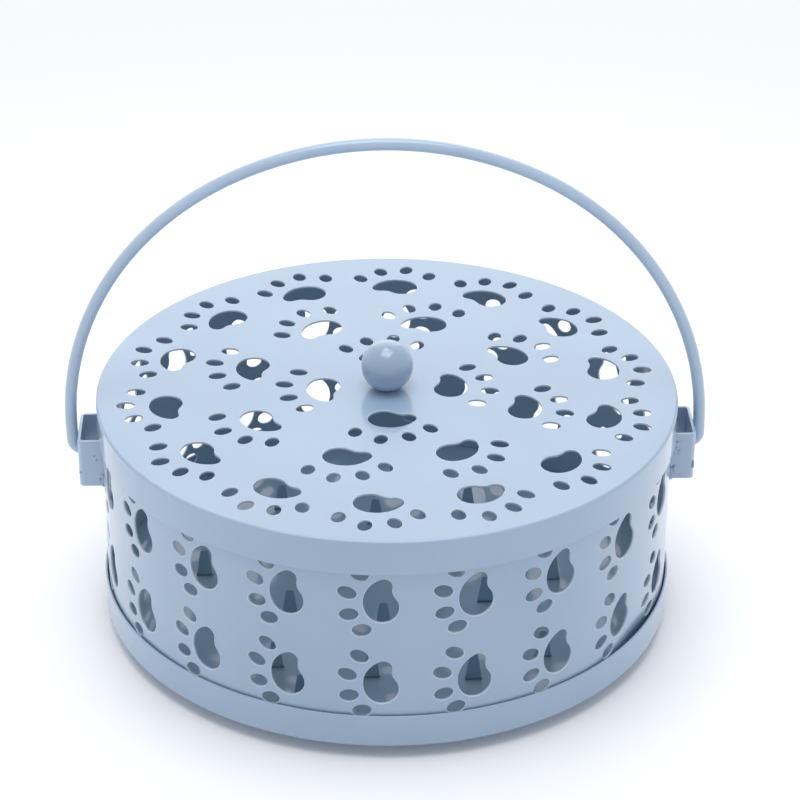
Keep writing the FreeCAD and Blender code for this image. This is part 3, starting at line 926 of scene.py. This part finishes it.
@dataclass
class Tray:
    """The pressed tray: a floor with tabs punched and bent up, and a low upright rim."""

    paint: PaintedSheet
    radius: float = 82.35
    sheet: float = 0.7
    height: float = 10.0
    edge: float = 0.9
    rim_steps: int = 224
    slot_roll: float = 0.12
    slot_steps: int = 8
    saw: float = 0.25
    tab_length: float = 8.8
    tab_foot: float = 4.4
    tab_tip: float = 2.3
    tab_bend: float = 0.5
    tab_bend_steps: int = 5
    tab_root: float = 0.6
    tab_neck: float = 0.8
    # The tabs' places, as shares of the wall's radius
    wall: float = 81.4
    tab_shares: tuple[Point, ...] = (
        (-0.40, -0.54), (-0.07, -0.61), (0.28, -0.63), (0.53, -0.50), (-0.31, -0.74),
        (-0.35, -0.22), (-0.02, -0.31), (0.35, -0.15), (0.60, -0.01), (-0.66, 0.05),
        (-0.03, 0.39), (0.32, 0.47), (-0.38, 0.50), (0.62, 0.36), (0.06, 0.74))

    def build(self) -> None:
        """Fill the slotted floor, turn up the rim and add the tabs."""
        tool = bmesh.new()
        punched = PunchedSheet(self.sheet, self.slot_roll)
        places = [(x * self.wall, y * self.wall) for x, y in self.tab_shares]
        tops, unders = punched.cut_holes(tool, [self.slot(place) for place in places])
        rim = add_loop(tool, circle((0, 0), self.radius - self.edge, self.rim_steps), 0.0)
        unders.append(pull_rings(tool, rim, self.rim_stations()))
        punched.fill(tool, [*tops, rim])
        punched.fill(tool, unders)
        bmesh.ops.translate(tool, vec=(0, 0, self.sheet), verts=tool.verts)
        bmesh.ops.recalc_face_normals(tool, faces=tool.faces)
        paint_level(tool, self.sheet)
        for place in places:
            self.add_tab(tool, place)
        piece = finish_piece("tray_dish", tool, self.paint.outside, Body.BOX,
                             "base_tray")
        self.paint.dress(piece)
        even_shading(piece, sharp=60)

    def rim_stations(self) -> list[Point]:
        """Lay the rim's section: up inside, over the round lip, down outside and under.

        Returns:
            The reach and height of each station, over the floor's top skin.
        """
        flat, inside = self.radius - self.edge, self.radius - self.sheet
        inner, lip = self.edge - self.sheet, self.sheet / 2
        tall = self.height - self.sheet
        stations = [(flat + inner * math.sin(t), inner * (1 - math.cos(t)))
                    for t in angles(0, 90, 3)]
        stations += [(inside, tall / 2), (inside, tall - lip)]
        stations += [(inside + lip * (1 - math.cos(t)), tall - lip + lip * math.sin(t))
                     for t in angles(0, 180, 4)]
        stations += [(self.radius, tall / 2), (self.radius, inner)]
        stations += [(flat + self.edge * math.cos(t), inner - self.edge * math.sin(t))
                     for t in angles(0, 90, 4)]
        return stations

    def slot(self, place: Point) -> Outline:
        """Lay the slot that a tab leaves: tapered, with a round end.

        Args:
            place: The middle of the tab's bend line.

        Returns:
            The slot's outline.
        """
        foot, tip = self.tab_foot / 2 + self.saw, self.tab_tip / 2 + self.saw
        reach = self.tab_length + self.saw - tip
        points = [(foot, 0.0), (-foot, 0.0), (-foot, -self.tab_neck)]
        points += arc((0, -reach), tip, 180, 360, self.slot_steps)
        points += [(tip, -reach), (foot, -self.tab_neck)]
        return placed(points, 0.0, place)

    def add_tab(self, tool: Mesh, place: Point) -> None:
        """Bend one tab up from the floor, and taper it to a rounded tip.

        Args:
            tool: The bmesh.
            place: The middle of its bend line.
        """
        floor = set(tool.faces)
        made = bmesh.ops.create_grid(tool, x_segments=1, y_segments=1, size=0.5)["verts"]
        face = made[0].link_faces[0]
        bmesh.ops.transform(tool, verts=made, matrix=Matrix.Diagonal(
            (self.tab_foot, self.sheet, 1, 1)))
        bmesh.ops.rotate(tool, verts=made, cent=(0, 0, 0),
                         matrix=Matrix.Rotation(math.pi / 2, 3, "X"))
        across, back = place[0], place[1] + self.tab_bend
        bmesh.ops.translate(tool, verts=made, vec=(across, back, self.sheet / 2))
        root = bmesh.ops.extrude_face_region(tool, geom=[face])["geom"]
        bmesh.ops.translate(tool, vec=(0, self.tab_root, 0),
                            verts=of_kind(root, bmesh.types.BMVert))
        spun = bmesh.ops.spin(tool, geom=[face], axis=Axis.X.value, angle=-math.pi / 2,
                              cent=(across, back, self.sheet + self.tab_bend),
                              steps=self.tab_bend_steps, use_merge=False,
                              use_duplicate=False)["geom_last"]
        tip = of_kind(spun, bmesh.types.BMFace)[0]
        rise = self.tab_length - self.tab_bend - self.sheet / 2
        narrow = self.tab_tip / self.tab_foot
        width = 1.0
        # Shares of the rise, and widths: the taper, the tip, and two steps that round it
        for share, target in ((0.6, 0.4 + 0.6 * narrow), (0.32, narrow),
                              (0.05, narrow * 0.84), (0.03, narrow * 0.55)):
            tip = bmesh.ops.extrude_discrete_faces(tool, faces=[tip])["faces"][0]
            bmesh.ops.translate(tool, vec=(0, 0, rise * share), verts=tip.verts)
            bmesh.ops.scale(tool, vec=(target / width, 1, 1), verts=tip.verts,
                            space=Matrix.Translation((-across, 0, 0)))
            width = target
        # The tab takes the inside's look, painted light
        for side in set(tool.faces) - floor:
            side.material_index = Look.INSIDE.value


@dataclass
class Brackets:
    """Two straps bent to a U and welded to the wall, each with a hole for the bail's end."""

    enamel: Material
    weld_enamel: Material
    wall: float = 81.4
    reach: float = 88.0
    width: float = 16.4
    low: float = 38.8
    high: float = 53.5
    sheet: float = 0.9
    bend: float = 1.5
    bend_steps: int = 6
    leg_sink: float = 0.05
    edge: float = 0.14
    hole: float = 2.2
    hole_steps: int = 28
    pivot: float = 46.45
    sides: tuple[tuple[str, int], ...] = (("left", -1), ("right", 1))
    # A weld bead: its length, its ends' inset and its count of lumps
    bead: tuple[float, float, int] = (3.4, 0.5, 4)
    bead_lump: Place = (0.75, 0.7, 0.85)
    # Its middle: out from the leg's foot, aside of the leg, and up from the strap's low edge
    bead_seat: Place = (0.15, 0.2, 0.2)
    # How uneven a bead is: outward and in size, and sideways
    bead_wobble: Point = (0.12, 0.15)
    # A tack at the wall's foot: how far in and how high it lies, its lumps' pitch and count
    tacks: int = 4
    tack: tuple[float, float, float, int] = (1.0, 1.0, 0.9, 7)
    tack_lump: Place = (0.8, 0.8, 0.6)
    # Weld spatter: the side it is on, its place on the right-hand bracket, and its radius
    spatter: tuple[tuple[int, float, float, float, float], ...] = (
        (1, 82.7, -8.2, 50.9, 0.34), (1, 83.95, -8.2, 51.1, 0.2), (1, 82.5, -8.2, 49.0, 0.32),
        (1, 83.4, -8.2, 48.1, 0.34), (1, 81.7, -8.2, 47.2, 0.22), (1, 82.4, -8.2, 46.8, 0.24),
        (1, 83.2, -8.2, 47.05, 0.22), (1, 83.95, -8.2, 40.1, 0.26), (1, 82.2, -8.2, 42.9, 0.5),
        (1, 81.7, -8.2, 42.1, 0.55), (1, 82.0, -8.2, 41.3, 0.45), (1, 87.6, -7.9, 44.2, 0.38),
        (1, 87.6, -7.9, 43.4, 0.45), (1, 87.55, -7.9, 42.5, 0.42), (-1, 83.4, 8.2, 48.6, 0.3),
        (-1, 82.8, 8.2, 47.3, 0.34), (-1, 87.5, 7.8, 43.2, 0.45), (-1, 82.0, 8.2, 41.0, 0.5))

    def build(self) -> None:
        """Make both brackets, their welds and the wall's tacks."""
        for side, sign in self.sides:
            self.make_strap(side, sign)
            self.make_welds(side, sign)
        self.make_tacks()

    def leg_foot(self) -> float:
        """Return how far out the legs' outer faces meet the round wall."""
        return math.sqrt(self.wall**2 - (self.width / 2) ** 2)

    @staticmethod
    def face_side(tool: Mesh, sign: int) -> None:
        """Turn what is built for the right-hand side half round, if it is the left's.

        Args:
            tool: The bmesh.
            sign: The side's sign along X.
        """
        if sign < 0:
            bmesh.ops.rotate(tool, verts=tool.verts, cent=(0, 0, 0),
                             matrix=Matrix.Rotation(math.pi, 3, "Z"))

    def make_strap(self, side: str, sign: int) -> None:
        """Make the outer plate with its hole, bend the legs back, and give it thickness.

        Args:
            side: The side's name.
            sign: Its sign along X.
        """
        tool = bmesh.new()
        flat = self.width / 2 - self.bend
        frame = [(-flat, self.low), (flat, self.low), (flat, self.high), (-flat, self.high)]
        hole = circle((0, self.pivot), self.hole, self.hole_steps)
        PunchedSheet.fill(tool, [add_loop(tool, hole, 0.0), add_loop(tool, frame, 0.0)])
        upright = Matrix(((0, 0, 1), (1, 0, 0), (0, 1, 0)))
        bmesh.ops.transform(tool, verts=tool.verts, matrix=upright.to_4x4())
        bmesh.ops.translate(tool, vec=(self.reach, 0, 0), verts=tool.verts)
        foot = self.leg_foot() - self.leg_sink
        for end in (-1, 1):
            edge = [edge for edge in tool.edges if edge.is_boundary
                    and all(abs(vert.co.y - end * flat) < NEAR for vert in edge.verts)]
            spun = bmesh.ops.spin(tool, geom=edge, cent=(self.reach - self.bend, end * flat, 0),
                                  axis=Axis.Z.value, angle=end * math.pi / 2,
                                  steps=self.bend_steps, use_merge=False,
                                  use_duplicate=False)["geom_last"]
            pull_loop(tool, of_kind(spun, bmesh.types.BMEdge),
                      lambda point: Vector((foot, point.y, point.z)))
        bmesh.ops.remove_doubles(tool, verts=tool.verts, dist=NEAR)
        bmesh.ops.recalc_face_normals(tool, faces=tool.faces)
        plate = max(tool.faces, key=lambda face: face.calc_center_median().x)
        if plate.normal.x < 0:
            bmesh.ops.reverse_faces(tool, faces=tool.faces)
        bmesh.ops.solidify(tool, geom=whole(tool), thickness=self.sheet)
        bmesh.ops.recalc_face_normals(tool, faces=tool.faces)
        right_angled = [edge for edge in tool.edges
                        if edge.is_manifold and edge.calc_face_angle() > 1.0]
        bmesh.ops.bevel(tool, geom=right_angled, offset=self.edge, affect="EDGES", segments=2,
                        profile=0.5, material=-1, clamp_overlap=True)
        self.face_side(tool, sign)
        even_shading(finish_piece(f"{side}_strap", tool, self.enamel, Body.BOX,
                                  f"{side}_bracket"), sharp=50)

    def make_welds(self, side: str, sign: int) -> None:
        """Lay lumpy beads where the legs meet the wall, with a little spatter.

        Args:
            side: The side's name.
            sign: Its sign along X.
        """
        tool = bmesh.new()
        out, beside, above = self.bead_seat
        foot, aside = self.leg_foot() + out, self.width / 2 + beside
        length, inset, lumps = self.bead
        outward, sideways = self.bead_wobble
        for end in (-1, 1):
            for low in (self.low + above, self.high - length):
                for number in range(lumps):
                    along = inset + (length - 2 * inset) * number / (lumps - 1)
                    # Uneven as by hand, and the same on each run
                    wobble = math.sin(7.3 * number + 2.1 * end + 0.37 * low + sign)
                    centre = Vector((foot + outward * wobble,
                                     end * (aside - sideways * wobble), low + along))
                    add_lump(tool, centre, Vector(self.bead_lump) * (1 + outward * wobble))
        for which, *place, radius in self.spatter:
            if which == sign:
                add_lump(tool, Vector(place), Vector((radius, radius, radius)))
        self.face_side(tool, sign)
        finish_piece(f"{side}_weld_beads", tool, self.weld_enamel, Body.BOX,
                     f"{side}_bracket_welds")

    def make_tacks(self) -> None:
        """Lay the tacks inside the wall's foot."""
        tool = bmesh.new()
        inset, height, pitch, lumps = self.tack
        reach = self.wall - inset
        for number in range(self.tacks):
            for lump in range(lumps):
                angle = (TAU * (number + 0.5) / self.tacks
                         + (lump - lumps // 2) * pitch / self.wall)
                centre = Vector((reach * math.cos(angle), reach * math.sin(angle), height))
                add_lump(tool, centre, Vector(self.tack_lump))
        finish_piece("wall_foot_beads", tool, self.weld_enamel, Body.BOX,
                     "wall_foot_tacks")


def add_lump(tool: Mesh, centre: Vector, reach: Vector) -> None:
    """Add one small uneven lump of weld metal.

    Args:
        tool: The bmesh.
        centre: Its centre.
        reach: Its half sizes.
    """
    uneven, grain = 0.14, 1.7
    for vert in bmesh.ops.create_icosphere(tool, subdivisions=2, radius=1.0)["verts"]:
        rough = 1 + uneven * noise.noise(vert.co * grain + centre)
        vert.co = centre + vert.co * reach * rough


@dataclass
class Bail:
    """The carrying bail: one round wire bent to legs, shoulders and a crown."""

    enamel: Material
    wire: float = 3.42
    half_span: float = 89.85
    bend: float = 3.2
    leg: float = 7.6
    inset: float = 4.15
    swell: float = 9.15
    pivot: float = 46.45
    tip: float = 83.3
    end_round: float = 0.35
    sides: int = 28
    bend_steps: int = 8
    arc_steps: int = 40
    # The spring in the wire: its height over the pivot, its lean, the share of the height
    # where that is full, and how much wider the middle stands, as a share
    rise: float = 95.0
    lean: float = 1.1
    lean_share: float = 0.84
    spread: float = 0.0010

    def build(self) -> None:
        """Spin the wire's round section along the path, one bend after another."""
        tool = bmesh.new()
        crown_turn = math.acos(self.inset / self.swell)
        leg_top = self.pivot + self.leg
        crown_low = leg_top - self.swell * math.sin(crown_turn)
        bend_top, bend_in = self.pivot + self.bend, self.half_span - self.bend
        inward = bend_in - self.tip - self.end_round
        made = bmesh.ops.create_circle(tool, cap_ends=True, segments=self.sides,
                                       radius=self.wire / 2 - self.end_round)["verts"]
        bmesh.ops.rotate(tool, verts=made, cent=(0, 0, 0),
                         matrix=Matrix.Rotation(math.pi / 2, 3, "Y"))
        bmesh.ops.translate(tool, verts=made, vec=(self.tip, 0, self.pivot))
        section = self.round_end(tool, list(tool.edges), 1)
        section = self.pull(tool, section, (inward, 0, 0))
        section = self.turn(tool, section, (bend_in, bend_top), 90, self.bend_steps)
        section = self.pull(tool, section, (0, 0, self.leg - self.bend))
        shoulder = math.degrees(crown_turn)
        for across, low, degrees in ((self.inset, leg_top, shoulder),
                                     (0.0, crown_low, 180 - 2 * shoulder),
                                     (-self.inset, leg_top, shoulder)):
            section = self.turn(tool, section, (across, low), degrees, self.arc_steps)
        section = self.pull(tool, section, (0, 0, self.bend - self.leg))
        section = self.turn(tool, section, (-bend_in, bend_top), 90, self.bend_steps)
        section = self.pull(tool, section, (inward, 0, 0))
        section = self.round_end(tool, section, -1)
        bmesh.ops.holes_fill(tool, edges=section, sides=0)
        for vert in tool.verts:
            vert.co.x = self.sprung(vert.co.x, vert.co.z)
        even_shading(finish_piece("bail_wire", tool, self.enamel, Body.BAIL,
                                  "bail_handle"))

    def sprung(self, across: float, height: float) -> float:
        """Say where a point of the wire lies across, once the crown has sprung to the left.

        Args:
            across: Its X as bent.
            height: Its height.

        Returns:
            Its X.
        """
        share = max(0.0, height - self.pivot) / self.rise
        lean = self.lean * math.sin(min(1.0, share / self.lean_share) * math.pi / 2)
        return across * (1 + self.spread * math.sin(min(1.0, share) * math.pi)) - lean

    @staticmethod
    def pull(tool: Mesh, section: list, way: Place) -> list:
        """Extrude the open section straight along a way and return its new edges."""
        step = Vector(way)
        return pull_loop(tool, section, lambda point: point + step)

    @staticmethod
    def turn(tool: Mesh, section: list, centre: Point, degrees: float, steps: int) -> list:
        """Spin the open section over to the left about a level axis.

        Args:
            tool: The bmesh.
            section: The section's edges.
            centre: The axis's X and Z.
            degrees: How far it turns.
            steps: In how many steps.

        Returns:
            Its new edges.
        """
        made = bmesh.ops.spin(tool, geom=section, cent=(centre[0], 0, centre[1]),
                              axis=Axis.Y.value, angle=-math.radians(degrees), steps=steps,
                              use_merge=False, use_duplicate=False)["geom_last"]
        return of_kind(made, bmesh.types.BMEdge)

    def round_end(self, tool: Mesh, section: list, way: int) -> list:
        """Round a cut end: grow the section out of it, or shrink it into the other end.

        Args:
            tool: The bmesh.
            section: The section's edges.
            way: One where the wire starts, and minus one where it ends.

        Returns:
            Its new edges.
        """
        soft = self.end_round
        middle = Vector((0, self.pivot))
        for angle in angles(0, 90, 3):
            grown, gone = math.sin(angle), 1 - math.cos(angle)
            if way < 0:
                grown, gone = 1 - gone, grown - 1
            reach, across = self.wire / 2 + soft * (grown - 1), way * self.tip + soft * gone
            section = pull_loop(tool, section, lambda point: Vector(
                (across, *(middle + (point.yz - middle).normalized() * reach))))
        return section


@dataclass
class Studio:
    """A pale sweep, a soft overhead light, and the camera at the photograph's angle.

    The camera's angles are in radians.
    """

    lens: float = 124.02
    sensor: float = 36.0
    reach: float = 783.75
    tilt: float = 0.508472
    roll: float = 0.005684
    yaw: float = 0.004687
    pitch: float = -0.004671
    turn: float = math.radians(1.77)
    aim: float = 65.4
    # The nearest and farthest that the camera sees, in metres
    clip: Point = (0.01, 50.0)
    lift: float = 4.0
    riser: float = 74.0
    riser_steps: int = 96
    riser_seat: float = 0.05
    floor: float = 6000.0
    paper_roughness: float = 0.7
    fade: Point = (120.0, 480.0)
    ambient: float = 0.42
    beside: float = 0.66
    beside_from: float = 0.2
    behind: float = 0.3
    # Each lamp's name, place, size and power in watts
    lamps: tuple[tuple[str, Place, float, float], ...] = (
        ("overhead_softbox", (-100.0, -150.0, 2600.0), 1800.0, 33.8),
        ("back_panel", (0.0, 2700.0, 1600.0), 3000.0, 20.0))

    def build(self) -> None:
        """Make the floor, the riser, the lights and the camera."""
        self.make_floor()
        self.make_riser()
        self.make_lamps()
        self.make_tent()
        self.make_camera()
        bpy.context.scene.view_settings.view_transform = "Standard"

    def make_floor(self) -> None:
        """Lay a wide pale floor that keeps the holder's soft shadow."""
        tool = bmesh.new()
        bmesh.ops.create_grid(tool, x_segments=1, y_segments=1, size=self.floor)
        bmesh.ops.translate(tool, vec=(0, 0, -self.lift), verts=tool.verts)
        paper = self.paper("sweep_paper", Hue.FLOOR)
        self.fade_out(paper)
        link_mesh("studio_floor", tool, paper)

    def make_riser(self) -> None:
        """Put a low disc under the tray, which lifts the rim clear of the floor as photographed."""
        tool = bmesh.new()
        bmesh.ops.create_cone(tool, cap_ends=True, segments=self.riser_steps,
                              radius1=self.riser, radius2=self.riser, depth=self.lift)
        bmesh.ops.translate(tool, vec=(0, 0, self.riser_seat - self.lift / 2),
                            verts=tool.verts)
        # Its grey-blue paper is painted shade, the dark under the tray seen through the slots
        link_mesh("riser_disc", tool, self.paper("riser_card_painted_shade", Hue.RISER_PAINTED_SHADE))

    def paper(self, name: str, hue: Hue) -> Material:
        """Make a matt paper: it gives the eye a shadow and no highlight.

        Args:
            name: The material's name.
            hue: Its colour.

        Returns:
            The material.
        """
        material, _, shader = new_material(name)
        shader.inputs["Base Color"].default_value = linear(hue)
        shader.inputs["Roughness"].default_value = self.paper_roughness
        return material

    def fade_out(self, paper: Material) -> None:
        """Let the floor run out into the pale backdrop, away from the holder and its shadow.

        Args:
            paper: The floor's material.
        """
        tree = paper.node_tree
        where = add_node(tree, "ShaderNodeTexCoord").outputs["Object"]
        away = add_node(tree, "ShaderNodeVectorMath", None, {0: where}, operation="LENGTH")
        near, far = self.fade
        share = add_node(tree, "ShaderNodeMapRange",
                         {"From Min": near * MM, "From Max": far * MM},
                         {"Value": away.outputs["Value"]}, interpolation_type="SMOOTHSTEP")
        seen = add_node(tree, "ShaderNodeMath", None,
                        {0: share.outputs[0], 1: self.direct_rays(tree)}, operation="MULTIPLY")
        glow = add_node(tree, "ShaderNodeEmission", {"Color": linear(Hue.HAZE),
                        "Strength": 1.0})
        mixed = add_node(tree, "ShaderNodeMixShader", None,
                         {0: seen.outputs[0], 1: tree.nodes["Principled BSDF"].outputs[0],
                          2: glow.outputs[0]})
        tree.links.new(mixed.outputs[0], tree.nodes["Material Output"].inputs["Surface"])

    @staticmethod
    def direct_rays(tree: Tree) -> bpy.types.NodeSocket:
        """Single out the rays that see the backdrop, rather than are lit by it.

        Args:
            tree: The node tree.

        Returns:
            A factor of one for camera, glossy and transmission rays.
        """
        rays = add_node(tree, "ShaderNodeLightPath").outputs
        factor = rays["Is Camera Ray"]
        for kind in ("Is Glossy Ray", "Is Transmission Ray"):
            factor = add_node(tree, "ShaderNodeMath", None, {0: factor, 1: rays[kind]},
                              operation="MAXIMUM").outputs[0]
        return factor

    def make_lamps(self) -> None:
        """Set two soft lamps over and behind the holder, aimed at its foot."""
        for name, place, size, power in self.lamps:
            lamp = bpy.data.lights.new(name, "AREA")
            lamp.shape = "SQUARE"
            lamp.size = size * MM
            lamp.energy = power
            item = bpy.data.objects.new(name, lamp)
            where = Vector(place) * MM
            item.matrix_world = Matrix.Translation(where) @ where.to_track_quat(
                "Z", "Y").to_matrix().to_4x4()
            bpy.context.scene.collection.objects.link(item)

    def make_tent(self) -> None:
        """Set a pale tent round the holder, lighter at both sides and behind."""
        world = bpy.data.worlds.new("pale_tent")
        world.use_nodes = True
        bpy.context.scene.world = world
        tree = world.node_tree
        way = add_node(tree, "ShaderNodeSeparateXYZ", None,
                       {0: add_node(tree, "ShaderNodeTexCoord").outputs["Generated"]})
        aside = add_node(tree, "ShaderNodeMath", None, {0: way.outputs["X"]},
                         operation="ABSOLUTE")
        sides = add_node(tree, "ShaderNodeMapRange",
                         {"From Min": self.beside_from, "To Max": self.beside},
                         {"Value": aside.outputs[0]})
        back = add_node(tree, "ShaderNodeMapRange", {"To Max": self.behind},
                        {"Value": way.outputs["Y"]})
        both = add_node(tree, "ShaderNodeMath", None, {0: sides.outputs[0], 1: back.outputs[0]},
                        operation="ADD")
        level = add_node(tree, "ShaderNodeMath", {1: self.ambient}, {0: both.outputs[0]},
                         operation="ADD")
        tent = tree.nodes["Background"]
        tent.inputs["Color"].default_value = linear(Hue.HAZE)
        tree.links.new(level.outputs[0], tent.inputs["Strength"])
        shown = add_node(tree, "ShaderNodeBackground", {"Color": linear(Hue.HAZE),
                         "Strength": 1.0})
        mixed = add_node(tree, "ShaderNodeMixShader", None,
                         {0: self.direct_rays(tree), 1: tent.outputs[0],
                          2: shown.outputs[0]})
        tree.links.new(mixed.outputs[0], tree.nodes["World Output"].inputs["Surface"])

    def make_camera(self) -> None:
        """Place the camera that the photograph was fitted with."""
        back = Vector((-math.sin(self.turn) * math.cos(self.tilt),
                       -math.cos(self.turn) * math.cos(self.tilt), math.sin(self.tilt)))
        upright = Vector(Axis.Z.value)
        right = upright.cross(back).normalized()
        ahead = (self.yaw * right + self.pitch * back.cross(right) - back).normalized()
        right = ahead.cross(upright).normalized()
        up = right.cross(ahead)
        cosine, sine = math.cos(self.roll), math.sin(self.roll)
        right, up = cosine * right + sine * up, cosine * up - sine * right
        data = bpy.data.cameras.new("photo_camera")
        data.lens = self.lens
        data.sensor_width = self.sensor
        data.clip_start, data.clip_end = self.clip
        camera = bpy.data.objects.new("photo_camera", data)
        place = (Vector((0, 0, self.aim)) + back * self.reach) * MM
        stand = Matrix((right, up, -ahead)).transposed()
        camera.matrix_world = Matrix.Translation(place) @ stand.to_4x4()
        bpy.context.scene.collection.objects.link(camera)
        bpy.context.scene.camera = camera


def main() -> None:
    """Build the holder's pieces in order, then the studio."""
    logging.basicConfig(level=logging.INFO, format="%(name)s: %(message)s")
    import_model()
    paint = PaintedSheet(
        StovedEnamel("stoved_enamel").build(),
        # The punched edges' enamel is paler: a painted highlight
        StovedEnamel("stoved_enamel_punched_edge_highlight", base=Hue.ENAMEL_EDGE_HIGHLIGHT,
                     deep=Hue.ENAMEL_EDGE_HIGHLIGHT_DEEP, roughness=0.3).build(),
        # The inside's enamel is paler and greener: painted light for the shaded inside
        StovedEnamel("stoved_enamel_inside_painted_light", base=Hue.ENAMEL_INSIDE_PAINTED_LIGHT,
                     deep=Hue.ENAMEL_INSIDE_PAINTED_LIGHT_DEEP, roughness=0.3).build())
    # The wire and straps take a lighter copy of the enamel, as painted light
    painted_lighter_enamel = StovedEnamel("stoved_enamel_painted_lighter_on_wire_and_strap", base=Hue.ENAMEL_PAINTED_LIGHTER,
                               deep=Hue.ENAMEL_PAINTED_LIGHTER_DEEP, coat=0.8).build()
    knob_enamel = StovedEnamel("stoved_enamel_ball", base=Hue.ENAMEL_DEEP,
                               deep=Hue.ENAMEL_POOL, roughness=0.28, coat=1.0,
                               coat_roughness=0.07).build()
    weld_enamel = StovedEnamel("stoved_enamel_on_weld", base=Hue.ENAMEL_DEEP,
                               deep=Hue.ENAMEL_POOL, peel_mm=0.8,
                               peel_depth_mm=0.03).build()
    zinc = ZincPlate("zinc_plate").build()
    Tray(paint).build()
    Wall(paint).build()
    LidUnit(paint, knob_enamel, zinc).build()
    Brackets(painted_lighter_enamel, weld_enamel).build()
    Bail(painted_lighter_enamel).build()
    Studio().build()


if __name__ == "__main__":
    main()
